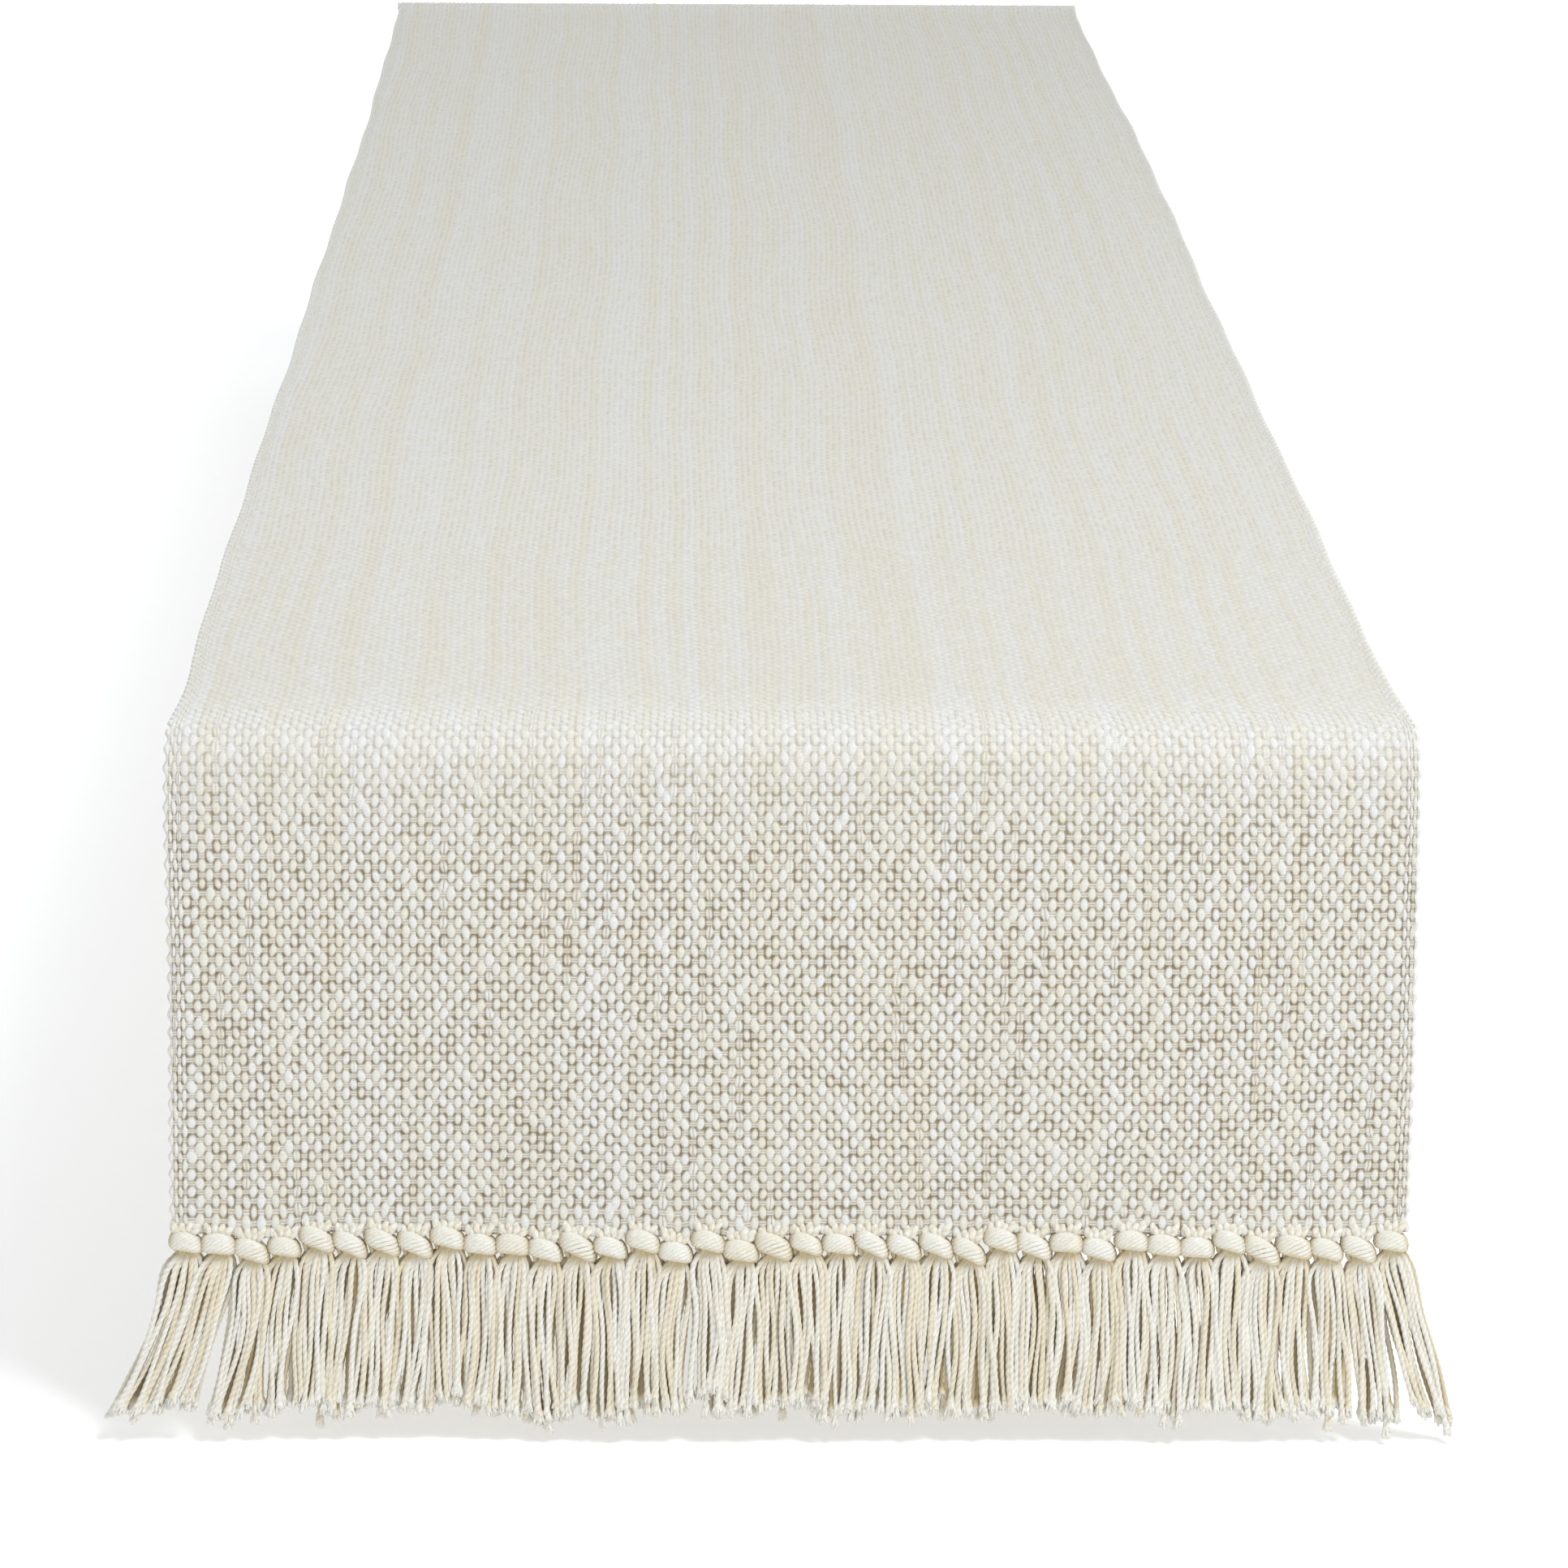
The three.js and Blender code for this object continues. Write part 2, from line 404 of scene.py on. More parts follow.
def eased(gap_shade, s):
    """The painted gap shade at s: weaker and more even where the cloth lies on the table, and weaker
    still where it bends over the table's edge."""
    free = hangs_free(s)
    shade_cut = FOLD_SHADE_CUT * np.exp(-(((np.abs(s) - FOLD_START) / (26 * MM)) ** 2))
    uneven = (gap_shade - MEAN_GAP_SHADE) * (TABLE_SHADE_CONTRAST + (1 - TABLE_SHADE_CONTRAST) * free)
    return (MEAN_GAP_SHADE + uneven) * (TABLE_GAP_SHADE + (1 - TABLE_GAP_SHADE) * free) * (1 - shade_cut)


def at_side(u):
    """0 inside the cloth, and 1 along its two sides, where the loops of the weft show."""
    return smooth(np.abs(u), WIDTH / 2 - 1.6 * MM, WIDTH / 2 - 0.2 * MM)


def laid_across(u, s, loops):
    """Where a place on the cloth lies across the table."""
    side = np.sign(u)
    near_side = smooth(np.abs(u), WIDTH / 2 - 8 * MM, WIDTH / 2)
    drawn_in = 1 - NARROWER * (1 - hangs_free(s))
    waves = side * (near_side * edge_wave(s, side) + at_side(u) * loops)
    return u * drawn_in + side_sway(s) + waves + (1 - near_side) * warp_wander(u, s)


def face_height(u, s, height, upper):
    """The height of the upper or the lower face over the middle surface, with rounded free edges."""
    to_edge = np.minimum(WIDTH / 2 - np.abs(u), CLOTH_END - np.abs(s))
    rounding = np.sqrt(1 - (1 - np.clip(to_edge / RIM_WIDTH, 0.01, 1)) ** 2)
    top = GAP_LEVEL + RELIEF * height
    bottom = -(UNDERSIDE - RELIEF * (1 - height) * 0.5)
    return np.where(upper, top, bottom) * rounding


def end_caps(under_samples, step, ring):
    """Polygons that close the first ring of the cloth, which has the given number of places. Each one
    covers one sample of the lower face and, over it, step samples of the upper face."""
    caps = []
    for i in range(under_samples):
        upper_edge = np.arange(i * step, (i + 1) * step + 1)
        lower_edge = ring - 1 - np.array([i + 1, i])
        caps.append(np.concatenate([upper_edge, lower_edge]))
    return caps


def cloth(name, first, last, per_column, under_per_column, per_row, material):
    """A closed piece of the cloth between two weft edges, with its woven relief on both faces. It has
    per_column samples across each column on its upper face, and under_per_column, a divisor of that,
    on its lower face. per_row may differ from row to row."""
    upper_u, upper_column, _ = samples(WARP, 0, COLUMNS, per_column)
    under_u, under_column, _ = samples(WARP, 0, COLUMNS, under_per_column)
    ring_s, ring_row, along = samples(WEFT, first, last, per_row)
    shape = (len(ring_s), len(upper_u) + len(under_u))
    upper = np.arange(shape[1]) < len(upper_u)
    u = np.broadcast_to(np.concatenate([upper_u, under_u[::-1]]), shape)
    s = np.broadcast_to(ring_s[:, None], shape)
    column = np.broadcast_to(np.concatenate([upper_column, under_column[::-1]]), shape)
    row = np.broadcast_to((ring_row[:, None] + np.where(upper, 0, 1)) % ROWS, shape)

    height, gap_shade, tint = weave(column, row, u, along[:, None])
    # Painted shade in the gaps between yarns: evened over ring densities, weaker on the table and at the
    # fold, and weaker along the sides of the upper face.
    gap_shade = eased(levelled(gap_shade, np.broadcast_to(per_row, last - first)), s)
    gap_shade = gap_shade * (1 - 0.8 * at_side(u) * upper)
    loops = EDGE_LOOP * np.where(warp_over(0, ring_row), 1, -1) * np.cos(math.pi * along)
    points = drape(
        laid_across(u, s, loops[:, None]), s + weft_wander(u, s), face_height(u, s, height, upper)
    )
    caps = end_caps(len(under_u) - 1, per_column // under_per_column, shape[1])
    corners, counts = ring_faces(shape[0], shape[1], caps)
    attributes = {
        "tint": tint.ravel(),
        "gap_shade": np.clip(gap_shade, 0, 1).ravel(),
        "flat": np.stack([u, s, u * 0], axis=-1).reshape(-1, 3),
    }
    return new_object(name, points.reshape(-1, 3), corners, counts, material, attributes)


# ---------------------------------------------------------------- yarn

def tubes(paths, radius, sides, reference, twist, lobes, phase):
    """Closed tubes along paths, an array of (tube, ring, xyz). The section has two lobes that turn
    round each other once in each twist of length, as two plied yarns do. reference is a vector, never
    along a path, from which the section is turned. Returns points, corners, counts and, for each
    point, how far down between the plies it lies, which sets the painted shade in the groove."""
    count, rings, _ = paths.shape
    tangent = np.gradient(paths, axis=1)
    step = np.linalg.norm(tangent, axis=2, keepdims=True)
    tangent = tangent / step
    length = np.cumsum(step[..., 0], axis=1)
    side = reference - (reference * tangent).sum(-1, keepdims=True) * tangent
    side = side / np.linalg.norm(side, axis=2, keepdims=True)
    other = np.cross(tangent, side)
    angle = np.arange(sides) * 2 * math.pi / sides
    turned = 2 * (angle[None, None, :] - (2 * math.pi * length / twist + phase[:, None])[..., None])
    bulge = radius[..., None] * (1 + lobes * np.cos(turned))
    points = (
        paths[:, :, None, :]
        + bulge[..., None] * np.cos(angle)[None, None, :, None] * side[:, :, None, :]
        + bulge[..., None] * np.sin(angle)[None, None, :, None] * other[:, :, None, :]
    )
    corners, counts = ring_faces(rings, sides)
    first = np.arange(count) * rings * sides
    all_corners = (first[:, None] + corners[None]).ravel()
    all_counts = np.tile(counts, count)
    # How far down between the plies each point lies; it sets the painted groove shade.
    between = (0.5 - 0.5 * np.cos(turned)) ** 2.5
    flat = np.stack(
        [
            np.broadcast_to(angle * STRAND_RADIUS, turned.shape),
            np.broadcast_to(length[..., None], turned.shape),
            np.broadcast_to(phase[:, None, None] * 0.01, turned.shape),
        ],
        axis=-1,
    )
    return points.reshape(-1, 3), all_corners, all_counts, between.ravel(), flat.reshape(-1, 3)


class Yarns:
    """Collects tubes of yarn and makes one object of them."""

    def __init__(self):
        self.points = []
        self.corners = []
        self.counts = []
        self.gap_shade = []
        self.tint = []
        self.flat = []
        self.total = 0

    def add(self, paths, radius, sides, reference, tint, phase, lobes=0.10, depth=0.22, shade=0.0):
        """Adds plied tubes with painted shade in the groove between the plies, as strong as the argument
        after lobes. shade, for each tube, ring and side or spread over them, is painted shade for how far
        inside the tassel that place lies."""
        points, corners, counts, between, flat = tubes(
            paths, radius, sides, reference, STRAND_TWIST, lobes, phase
        )
        shade = np.broadcast_to(shade, (*paths.shape[:2], sides))
        self.points.append(points)
        self.corners.append(corners + self.total)
        self.counts.append(counts)
        self.gap_shade.append(np.maximum(between * depth, shade.ravel()))
        self.tint.append(np.repeat(tint, len(points) // len(tint)))
        self.flat.append(flat)
        self.total += len(points)

    def make(self, name, material):
        attributes = {
            "tint": np.clip(np.concatenate(self.tint), 0, 1),
            "gap_shade": np.clip(np.concatenate(self.gap_shade), 0, 1),
            "flat": np.concatenate(self.flat),
        }
        points = np.concatenate(self.points)
        return new_object(
            name, points, np.concatenate(self.corners), np.concatenate(self.counts), material, attributes
        )


# ---------------------------------------------------------------- tassels

ACROSS_CLOTH = np.array([0.0, 1.0, 0.0])
UP = np.array([0.0, 0.0, 1.0])


def strand_colours(rng, count):
    base = rng.choice([0.05, 0.35, 0.8, 1.0], size=count, p=[0.38, 0.24, 0.24, 0.14])
    return base + 0.08 * rng.standard_normal(count)


def lean_at(rng, facing, x):
    """How far the tips of a tassel at x lean sideways: outwards near the corners, and a little to the
    viewer's left over the left half."""
    right = -facing
    nearness = np.clip((abs(x) / (WIDTH / 2 - PITCH / 2) - 1) / LEANING_SHARE + 1, 0, 1)
    outwards = math.copysign(CORNER_LEAN * nearness ** 2, x) * (0.9 if x * right > 0 else 1.1)
    leftwards = 3.0 * MM * smooth(-x * right, 0.06, 0.13)
    return outwards - right * leftwards + 1.5 * MM * rng.standard_normal()


def strand_shade(facing, order, layer, down, low, frayed, sides):
    """Painted shade on each side of each strand: dark where it faces the other layer, unless it is an
    outer strand, and at the neck under the knot."""
    section = np.cos(np.arange(sides) * 2 * math.pi / sides)
    facing_inwards = smooth(-facing * layer * section, -0.3, 0.7)[:, None, :]
    covered = 1 - 0.6 * smooth(np.abs(order), 0.65, 0.85)
    at_neck = np.exp(-(((down - low - NECK_DEPTH) / (2.2 * MM)) ** 2))
    shade = 0.65 * facing_inwards * (covered * (1 - frayed))[..., None] + 0.45 * at_neck[..., None]
    return np.clip(shade, 0, 0.9)


def to_world(facing, x, out, down):
    """From across, outwards from the hanging cloth, and down from its end, to the frame."""
    return np.stack(np.broadcast_arrays(x, facing * (HANG_Y + out), CLOTH_END_Z - down), axis=-1)


def strand_places(rng):
    """Across the tassel from -1 to 1, and 1 in front or -1 behind, for each of its strands."""
    front = (np.arange(STRANDS_IN_FRONT) + 0.5) / STRANDS_IN_FRONT * 2 - 1
    behind = (np.arange(STRANDS_BEHIND) + 0.5) / STRANDS_BEHIND * 2 - 1
    order = np.concatenate([front, behind])
    layer = np.concatenate([np.ones(STRANDS_IN_FRONT), -np.ones(STRANDS_BEHIND)])
    return order + 0.03 * rng.standard_normal(len(order)), layer


def add_strands(yarns, rng, facing, x, low, fine):
    """The strands of one tassel, from inside its knot through the neck and down to their frayed tips."""
    step = 0.45 * MM if fine else 0.7 * MM
    sides = 8 if fine else 6
    lean = lean_at(rng, facing, x)
    bend = 1.0 * MM * rng.standard_normal()
    closing = rng.uniform(0.86, 1.1)
    length = TASSEL_LENGTH - FRAYED_TIP + 1.2 * MM * rng.standard_normal() + low
    order, layer = strand_places(rng)
    count = len(order)
    noise = rng.standard_normal((5, count, 1))
    straggling = 1.8 * MM * np.clip(noise[0] - 1.3, 0, None)
    wander = rng.uniform(0, 2 * math.pi, (2, count, 1))
    order = order[:, None]
    layer = layer[:, None]
    rings = int(TASSEL_LENGTH / step)
    share = np.linspace(0, 1, rings)[None, :]
    start = KNOT_DEPTH + low
    down = start + share * (length + 1.1 * MM * noise[0] + straggling - start)

    neck_x = order * NECK_HALF_WIDTH - facing * 0.8 * MM
    skirt_x = order * PITCH * np.where(layer > 0, 0.55, 0.62) + 0.15 * MM * noise[1]
    skirt_x = skirt_x * (1 + 0.1 * np.exp(-(((down - low - NECK_DEPTH - 9 * MM) / (6 * MM)) ** 2)))
    tip_x = order * PITCH * 0.58 * closing + 0.8 * MM * noise[2]
    fan = 1 - (1 - np.clip((down - low - NECK_DEPTH) / FAN_LENGTH, 0, 1)) ** 2.4
    to_tip = smooth(down, 18 * MM, TASSEL_LENGTH)
    across = neck_x * (1 - fan) + ((1 - to_tip) * skirt_x + to_tip * tip_x) * fan
    across = across + fan * 0.42 * MM * np.sin(down / (6.0 * MM) + wander[0])
    hang_share = np.clip((down - NECK_DEPTH) / (TASSEL_LENGTH - NECK_DEPTH), 0, None)
    across = x + across + lean * hang_share ** 1.1 + bend * np.sin(math.pi * hang_share)

    skirt_out = LAYER_DEPTH * layer + 0.3 * MM * noise[3]
    out = 0.6 * MM * layer * (1 - fan) + skirt_out * fan
    out = out + fan * 0.3 * MM * np.sin(down / (6.1 * MM) + wander[1])
    out = out + hang_ripple(x * facing, CLOTH_END - FOLD_END)
    paths = to_world(facing, across, out, down)

    frayed = smooth(share, 0.93, 1.0)
    radius = STRAND_RADIUS * (1 + 0.06 * noise[4]) * (1 + 0.5 * frayed) * np.where(layer < 0, 1.1, 1.0)
    # Painted shade inside the tassel and at its neck. The yarn also gets painted shade in its ply
    # grooves.
    shade = strand_shade(facing, order, layer, down, low, frayed, sides)
    tint = strand_colours(rng, count)
    phase = rng.uniform(0, 2 * math.pi, count)
    yarns.add(paths, radius, sides, ACROSS_CLOTH, tint, phase, shade=shade)
    add_tufts(yarns, rng, paths, tint, 12 if fine else 5)


def add_gather(yarns, rng, facing, x, low, fine):
    """The pairs of warp yarn that leave the end of the cloth and close in on one knot, each the shape
    of a leaf."""
    pairs = 4
    step = 0.45 * MM if fine else 0.8 * MM
    rings = int(6.5 * MM / step)
    order = ((np.arange(pairs) + 0.5) / pairs * 2 - 1)[:, None]
    share = np.linspace(0, 1, rings)[None, :]
    start = 0.75 * low - 2.6 * MM + 0.6 * MM * rng.standard_normal((pairs, 1))
    down = start + share * (KNOT_DEPTH + low - start)
    across = x + order * PITCH * (0.52 - 0.36 * smooth(share, 0.1, 1.0))
    out = -0.4 * MM + 1.2 * MM * smooth(share, 0.0, 0.5)
    out = out + hang_ripple(x * facing, CLOTH_END - FOLD_END)
    paths = to_world(facing, across, out, down)
    radius = 1.08 * MM * (0.12 + 0.88 * np.sin(math.pi * np.clip(share, 0.02, 0.98) ** 0.85))
    radius = radius * (1 + 0.08 * rng.standard_normal((pairs, 1)))
    tint = 0.3 + 0.3 * strand_colours(rng, pairs)
    phase = rng.uniform(0, 2 * math.pi, pairs)
    # Painted shade on the leaves, darker where they run into the knot.
    shade = 0.5 * smooth(share, 0.45, 0.9)[..., None]
    yarns.add(paths, radius, 8 if fine else 6, ACROSS_CLOTH, tint, phase, shade=shade)


def add_tufts(yarns, rng, paths, tint, fibres):
    """Frayed ends: below its last turns each strand opens into a blunt brush of soft fibres."""
    tip = np.repeat(paths[:, -1], fibres, axis=0)
    back = np.repeat(paths[:, -5], fibres, axis=0)
    heading = (tip - back) / np.linalg.norm(tip - back, axis=1, keepdims=True)
    count = len(tip)
    angle = rng.uniform(0, 2 * math.pi, count)
    spread = np.sqrt(rng.uniform(0.05, 1.0, count))
    outwards = np.stack([np.cos(angle), np.sin(angle), 0 * angle], axis=1) * spread[:, None]
    length = rng.uniform(2.6, 4.0, (count, 1, 1)) * MM
    share = np.linspace(0, 1, 6)[None, :, None]
    start = tip - heading * 2.0 * MM + outwards * 0.3 * MM
    opening = outwards[:, None] * 1.1 * MM * share ** 1.2
    fibre_paths = start[:, None] + heading[:, None] * length * share + opening
    taper = np.array([0.7, 1.0, 1.05, 1.05, 1.0, 0.75])
    radius = 0.40 * MM * taper[None, :] * rng.uniform(0.8, 1.2, (count, 1))
    fibre_tint = np.repeat(tint * 0.2, fibres)
    phase = rng.uniform(0, 2 * math.pi, count)
    # A little painted shade in the grooves of the fibres.
    yarns.add(fibre_paths, radius, 5, ACROSS_CLOTH, fibre_tint, phase, depth=0.1)


def add_wrap(yarns, rng, facing, place, low, size, tilt, fine):
    """The wrap of an overhand knot: a fat, smooth ring of strands, which also turn round each other.
    It falls by tilt towards the viewer's right."""
    strands = 12
    turns = -17 / strands
    half_x, half_out = 3.35 * MM * size, 1.9 * MM
    thick_out, thick_up = 1.05 * MM, 2.25 * MM * size
    step = 0.45 * MM if fine else 0.8 * MM
    rings = int(2 * math.pi * half_x / step)
    round_angle = np.linspace(0, 2 * math.pi, rings)[None, :]
    k = np.arange(strands)[:, None]
    lay = 2 * math.pi * k / strands + turns * round_angle + rng.uniform(0, 6)
    outward = thick_out * np.cos(lay)
    upward = thick_up * np.sin(lay) * (1 - 0.16 * np.cos(round_angle) ** 2)
    across = (half_x + outward) * np.cos(round_angle)
    out = (half_out + outward) * np.sin(round_angle)
    bow = 0.7 * MM * (across / half_x) ** 2
    down = KNOT_DEPTH + low - upward + math.tan(tilt) * across + bow
    paths = to_world(facing, place[0] - facing * across, place[1] + out, down)
    radius = 0.62 * MM * np.ones((strands, rings))
    phase = rng.uniform(0, 2 * math.pi, strands)
    tint = 0.25 + 0.25 * strand_colours(rng, strands) + 0.12 * rng.standard_normal()
    # Painted shade at the wrap's two ends, where its neighbours crowd it, and on its underside, and a
    # little in the grooves between its strands.
    shade = 0.6 * np.abs(np.cos(round_angle)) ** 6 + 0.35 * smooth(-upward, 0.5 * thick_up, thick_up)
    shade = np.clip(shade, 0, 0.7)[..., None]
    yarns.add(paths, radius, 8 if fine else 6, UP, tint, phase, lobes=0.05, depth=0.05, shade=shade)


def add_loop(yarns, rng, facing, place, low, fine):
    """The short turn of yarn that shows below the wrap on the viewer's left, and runs into the neck."""
    strands = 2
    arc = np.linspace(0.95 * math.pi, 2.15 * math.pi, 14)[None, :]
    spread = np.array([[0.0], [1.15]]) * MM
    half_x = 1.9 * MM + 0.2 * MM * rng.standard_normal() - spread
    half_down = 3.3 * MM + 0.4 * MM * rng.standard_normal() - spread
    across = -1.0 * MM + half_x * np.cos(arc)
    down = KNOT_DEPTH + 1.4 * MM + low - half_down * np.sin(arc)
    out = -0.4 * MM - 0.5 * MM * np.cos(arc) + 0 * spread
    paths = to_world(facing, place[0] - facing * across, place[1] + out, down)
    radius = STRAND_RADIUS * np.ones((strands, arc.shape[1]))
    phase = rng.uniform(0, 2 * math.pi, strands)
    tint = strand_colours(rng, strands) + 0.15
    # The loop carries an even painted shade all over.
    yarns.add(paths, radius, 8 if fine else 6, ACROSS_CLOTH, tint, phase, shade=0.4)


def add_knot(yarns, rng, facing, x, low, fine):
    """The overhand knot that gathers the strands of one tassel."""
    size = 1 + 0.05 * rng.standard_normal()
    tilt = math.radians(15 + 7 * rng.standard_normal())
    place = (x, hang_ripple(x * facing, CLOTH_END - FOLD_END))
    add_wrap(yarns, rng, facing, place, low, size, tilt, fine)
    add_loop(yarns, rng, facing, place, low, fine)


def tassels(name, facing, numbers, material, fine):
    """One object with the tassels of the given numbers, each with its knot and its strands."""
    yarns = Yarns()
    for number in numbers:
        rng = np.random.default_rng([number, facing + 1, 7])
        x = TASSEL_X[number]
        low = KNOT_DROP[facing][number]
        add_gather(yarns, rng, facing, x, low, fine)
        add_strands(yarns, rng, facing, x, low, fine)
        add_knot(yarns, rng, facing, x, low, fine)
    return yarns.make(name, material)


# ---------------------------------------------------------------- materials

def attribute(tree, name, output):
    node = tree.nodes.new("ShaderNodeAttribute")
    node.attribute_name = name
    return node.outputs[output]


def noise_texture(tree, place, scale, detail, roughness):
    """Noise at a place on the flat cloth. scale is in cells a metre."""
    node = tree.nodes.new("ShaderNodeTexNoise")
    node.inputs["Scale"].default_value = scale
    node.inputs["Detail"].default_value = detail
    node.inputs["Roughness"].default_value = roughness
    tree.links.new(place, node.inputs["Vector"])
    return node.outputs["Fac"]


def multiplied(tree, first, second):
    node = tree.nodes.new("ShaderNodeMix")
    node.data_type = "RGBA"
    node.blend_type = "MULTIPLY"
    node.inputs["Factor"].default_value = 1.0
    tree.links.new(first, node.inputs["A"])
    tree.links.new(second, node.inputs["B"])
    return node.outputs["Result"]


def dyed(tree, flat, white, cream):
    """White to cream by the tint attribute, with slightly uneven dye."""
    uneven = tree.nodes.new("ShaderNodeMath")
    uneven.operation = "MULTIPLY_ADD"
    uneven.inputs[1].default_value = 0.5
    blotches = noise_texture(tree, flat, scale=90.0, detail=2.0, roughness=0.5)
    tree.links.new(blotches, uneven.inputs[0])
    tree.links.new(attribute(tree, "tint", "Fac"), uneven.inputs[2])
    centred = tree.nodes.new("ShaderNodeMath")
    centred.operation = "SUBTRACT"
    centred.use_clamp = True
    centred.inputs[1].default_value = 0.25
    tree.links.new(uneven.outputs[0], centred.inputs[0])
    yarn = tree.nodes.new("ShaderNodeMix")
    yarn.data_type = "RGBA"
    yarn.inputs["A"].default_value = (*white, 1)
    yarn.inputs["B"].default_value = (*cream, 1)
    tree.links.new(centred.outputs[0], yarn.inputs["Factor"])
    return yarn.outputs["Result"]


def streaks(tree, fibres):
    """Darker and lighter streaks, from the noise of the fibres."""
    shade = tree.nodes.new("ShaderNodeMapRange")
    shade.inputs["To Min"].default_value = 0.62
    shade.inputs["To Max"].default_value = 1.28
    tree.links.new(fibres, shade.inputs["Value"])
    return shade.outputs["Result"]


def painted_shade_colour(tree, half_shade_colour, full_shade_colour):
    """Painted shade colour: white where the painted gap shade is 0, then half shade, and full shade at 1.
    """
    ramp = tree.nodes.new("ShaderNodeValToRGB")
    ramp.color_ramp.elements[0].color = (1, 1, 1, 1)
    ramp.color_ramp.elements[1].color = (*full_shade_colour, 1)
    ramp.color_ramp.elements.new(0.45).color = (*half_shade_colour, 1)
    tree.links.new(attribute(tree, "gap_shade", "Fac"), ramp.inputs["Fac"])
    return ramp.outputs["Color"]


def cotton(name, white, cream, half_shade_colour, full_shade_colour):
    """Matt cotton yarn: its dyed colour, streaked by the fine fibres that run along it, and multiplied by
    painted shade, first the half shade colour and then the full shade colour, as the painted gap shade
    rises."""
    material = bpy.data.materials.new(name)
    material.use_nodes = True
    tree = material.node_tree
    shader = next(n for n in tree.nodes if n.type == "BSDF_PRINCIPLED")
    flat = attribute(tree, "flat", "Vector")
    stretch = tree.nodes.new("ShaderNodeMapping")
    stretch.inputs["Scale"].default_value = (1.8, 0.5, 1.0)
    tree.links.new(flat, stretch.inputs["Vector"])
    fibres = noise_texture(tree, stretch.outputs["Vector"], scale=2400.0, detail=3.0, roughness=0.6)

    yarn = multiplied(tree, dyed(tree, flat, white, cream), streaks(tree, fibres))
    # Painted shade in the gaps and grooves darkens the yarn colour.
    colour = multiplied(tree, yarn, painted_shade_colour(tree, half_shade_colour, full_shade_colour))
    tree.links.new(colour, shader.inputs["Base Color"])

    bump = tree.nodes.new("ShaderNodeBump")
    bump.inputs["Strength"].default_value = 0.35
    bump.inputs["Distance"].default_value = 0.06 * MM
    tree.links.new(fibres, bump.inputs["Height"])
    tree.links.new(bump.outputs["Normal"], shader.inputs["Normal"])

    shader.inputs["Roughness"].default_value = 0.92
    shader.inputs["Specular IOR Level"].default_value = 0.25
    shader.inputs["Sheen Weight"].default_value = 0.18
    shader.inputs["Sheen Roughness"].default_value = 0.5
    return material


def cloth_material():
    return cotton(
        "woven_cotton", white=(0.775, 0.772, 0.757), cream=(0.755, 0.728, 0.636),
        # The last two colours are painted shade for the gaps between the yarns.
        half_shade_colour=(0.65, 0.59, 0.49), full_shade_colour=(0.28, 0.22, 0.15),
    )


def fringe_material():
    return cotton(
        "twisted_cotton_yarn", white=(0.845, 0.835, 0.785), cream=(0.79, 0.733, 0.58),
        # The last two colours are painted shade for the ply grooves and the inside of the tassels.
        half_shade_colour=(0.71, 0.62, 0.45), full_shade_colour=(0.28, 0.20, 0.10),
    )


# ---------------------------------------------------------------- stage

def add_camera():
    data = bpy.data.cameras.new("camera")
    data.lens = CAMERA_LENS
    data.sensor_width = 36
    data.clip_start = 0.05
    data.clip_end = 60
    camera = bpy.data.objects.new("camera", data)
    bpy.context.scene.collection.objects.link(camera)
    turn = (
        Matrix.Rotation(math.radians(-CAMERA_YAW), 4, "Z")
        @ Matrix.Rotation(math.radians(90 - CAMERA_PITCH), 4, "X")
        @ Matrix.Rotation(math.radians(CAMERA_ROLL), 4, "Z")
    )
    camera.matrix_world = Matrix.Translation(CAMERA_PLACE) @ turn
    bpy.context.scene.camera = camera


def add_floor(z):
    size = 15.0
    points = np.array([[-size, -size, z], [size, -size, z], [size, size, z], [-size, size, z]])
    material = bpy.data.materials.new("pale_floor")
    material.use_nodes = True
    shader = next(n for n in material.node_tree.nodes if n.type == "BSDF_PRINCIPLED")
    shader.inputs["Base Color"].default_value = (0.90, 0.90, 0.90, 1)
    shader.inputs["Roughness"].default_value = 1.0
    shader.inputs["Specular IOR Level"].default_value = 0.0
    shader.inputs["Emission Color"].default_value = (1.0, 1.0, 1.0, 1)
    shader.inputs["Emission Strength"].default_value = 0.30
    new_object("floor", points, np.arange(4), np.array([4]), material, {})


def add_light(name, place, target, size, power, colour):
    data = bpy.data.lights.new(name, "AREA")
    data.shape = "SQUARE"
    data.size = size
    data.energy = power
    data.color = colour
    light = bpy.data.objects.new(name, data)
    light.visible_camera = False
    bpy.context.scene.collection.objects.link(light)
    heading = Vector(target) - Vector(place)
    turn = heading.to_track_quat("-Z", "Y").to_matrix().to_4x4()
    light.matrix_world = Matrix.Translation(place) @ turn


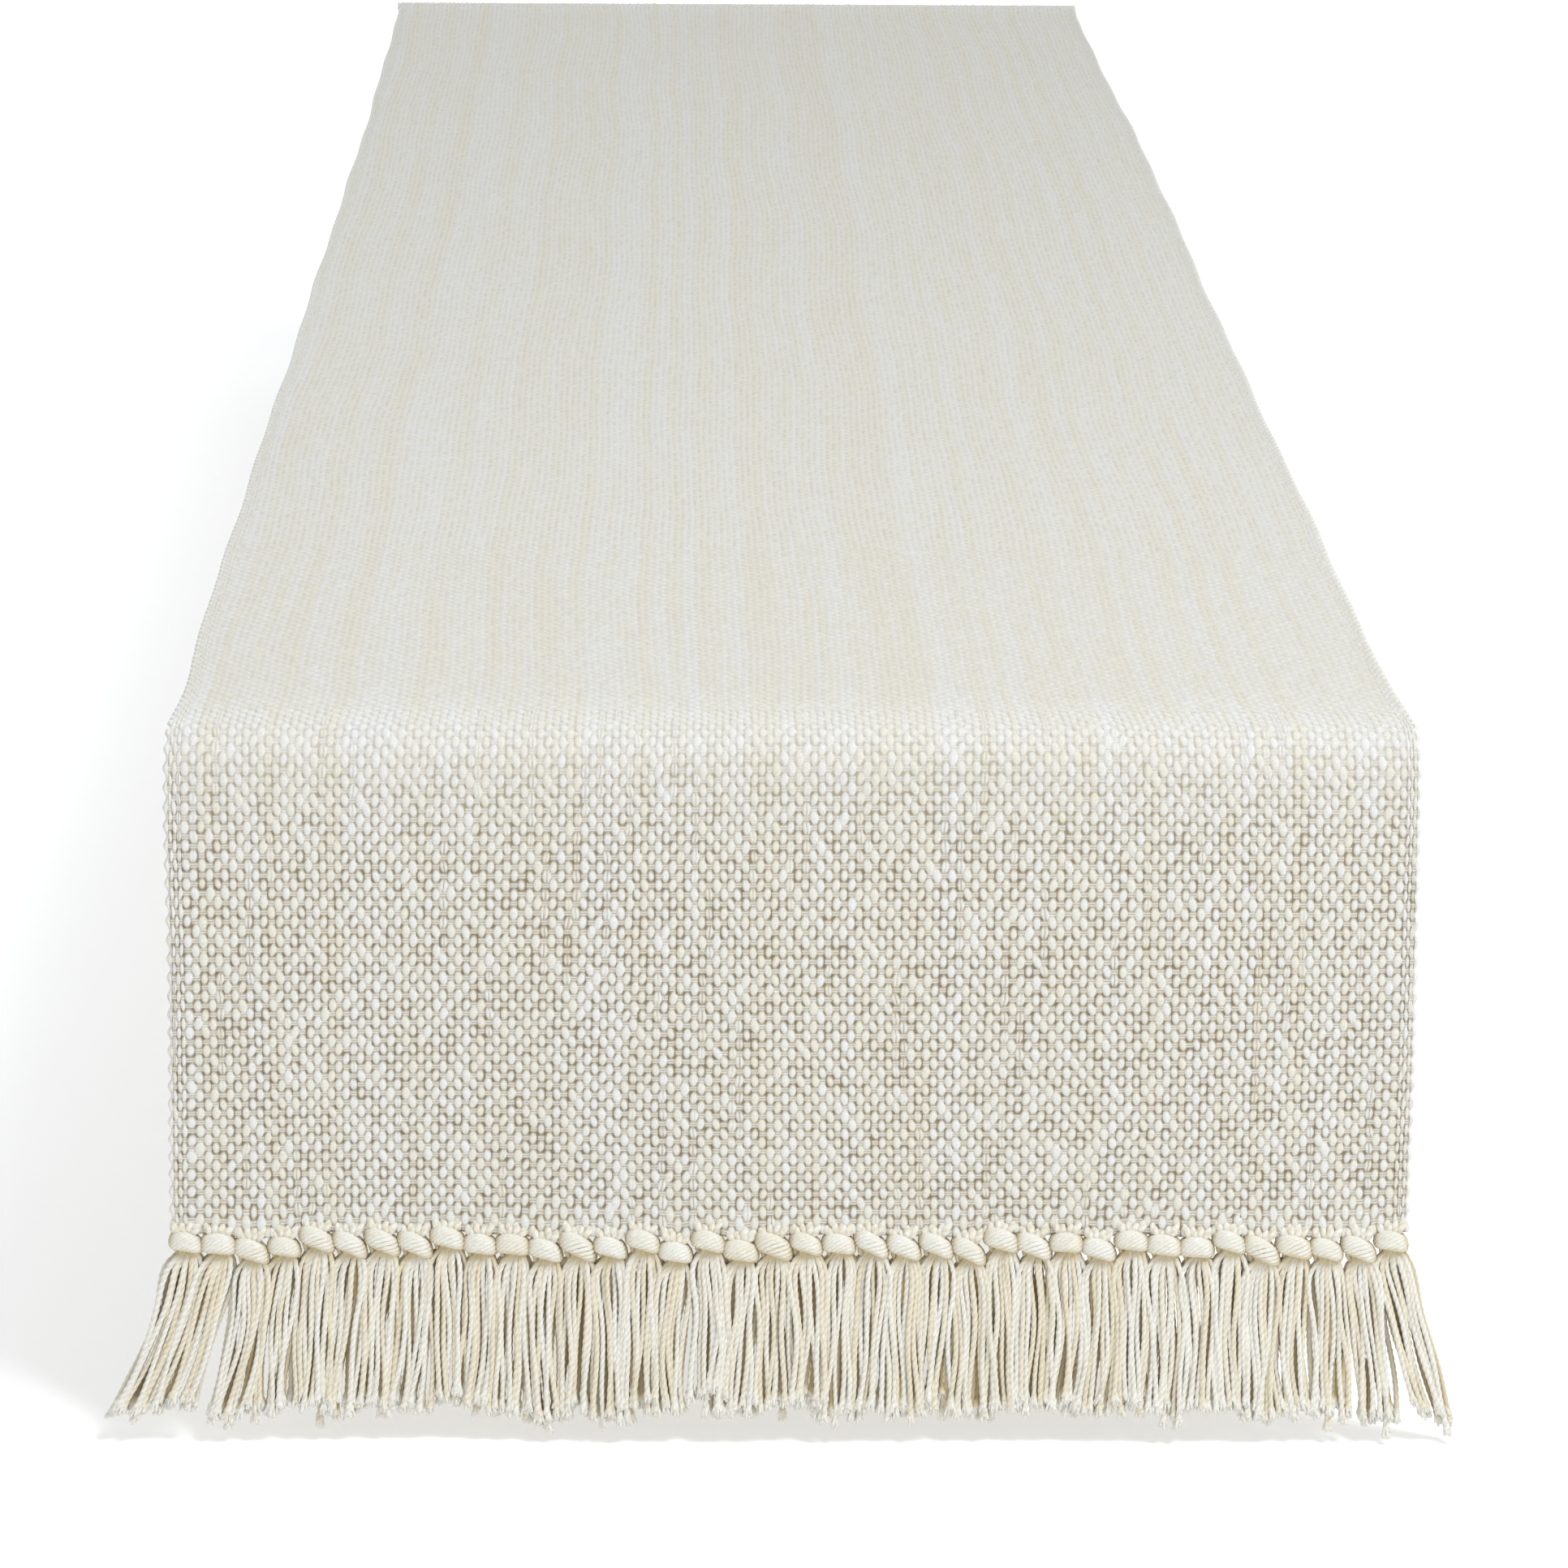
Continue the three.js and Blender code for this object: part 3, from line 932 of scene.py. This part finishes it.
def add_lighting():
    world = bpy.data.worlds.new("studio")
    world.use_nodes = True
    background = next(n for n in world.node_tree.nodes if n.type == "BACKGROUND")
    background.inputs["Color"].default_value = (0.98, 0.99, 1.0, 1)
    background.inputs["Strength"].default_value = 0.55
    bpy.context.scene.world = world
    add_light(
        "key", place=(0.9, -1.7, 1.9), target=(0.0, -0.76, 0.0), size=0.7,
        power=36, colour=(0.955, 0.98, 1.0),
    )
    add_light(
        "overhead", place=(0.1, 0.2, 2.2), target=(0.0, 0.1, 0.0), size=1.5,
        power=9, colour=(0.82, 0.93, 1.0),
    )
    add_light(
        "fill", place=(-0.6, 3.1, 0.5), target=(0.0, 0.76, -0.07), size=1.0,
        power=18, colour=(1.0, 0.985, 0.95),
    )


# ---------------------------------------------------------------- the runner

def add_fringe_piece(node, body, facing, numbers, fine):
    """The tassels of the given numbers, in the place of one node of a fringe."""
    piece = tassels(f"knotted_{node}", facing, numbers, FRINGE, fine)
    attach(piece, body)
    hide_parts(node)
    return piece


add_camera()
add_lighting()
bpy.context.scene.view_settings.view_transform = "Standard"

CLOTH = cloth_material()
FRINGE = fringe_material()
BACK_GROUPS = [range(first, min(first + GROUP, TASSELS)) for first in range(0, TASSELS, GROUP)]

front_seam = SEAM_ROWS
back_seam = ROWS - SEAM_ROWS
top_rows = np.interp(np.arange(back_seam - front_seam), [40, 120], [4, 3]).round().astype(int)
cloth_top = cloth("cloth_top", front_seam, back_seam, 3, 1, top_rows, CLOTH)
cloth_front = cloth("cloth_front_end", 0, front_seam, 8, 2, 8, CLOTH)
cloth_back = cloth("cloth_back_end", back_seam, ROWS, 4, 2, 6, CLOTH)

front_tassels = [
    add_fringe_piece(f"front_tassel_{number + 1:02d}", "front_fringe", -1, [number], fine=True)
    for number in range(TASSELS)
]
back_tassels = [
    add_fringe_piece(f"back_tassels_{group + 1:02d}", "back_fringe", 1, numbers, fine=False)
    for group, numbers in enumerate(BACK_GROUPS)
]

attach(cloth_top, "table_span")
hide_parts("top_panel")
for piece, side, facing, fringe in (
    (cloth_front, "front", -1, front_tassels),
    (cloth_back, "back", 1, back_tassels),
):
    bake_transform(piece)
    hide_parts(f"{side}_edge_fold", f"{side}_drop_panel")

low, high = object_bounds()
add_floor(low.z - 2 * MM)
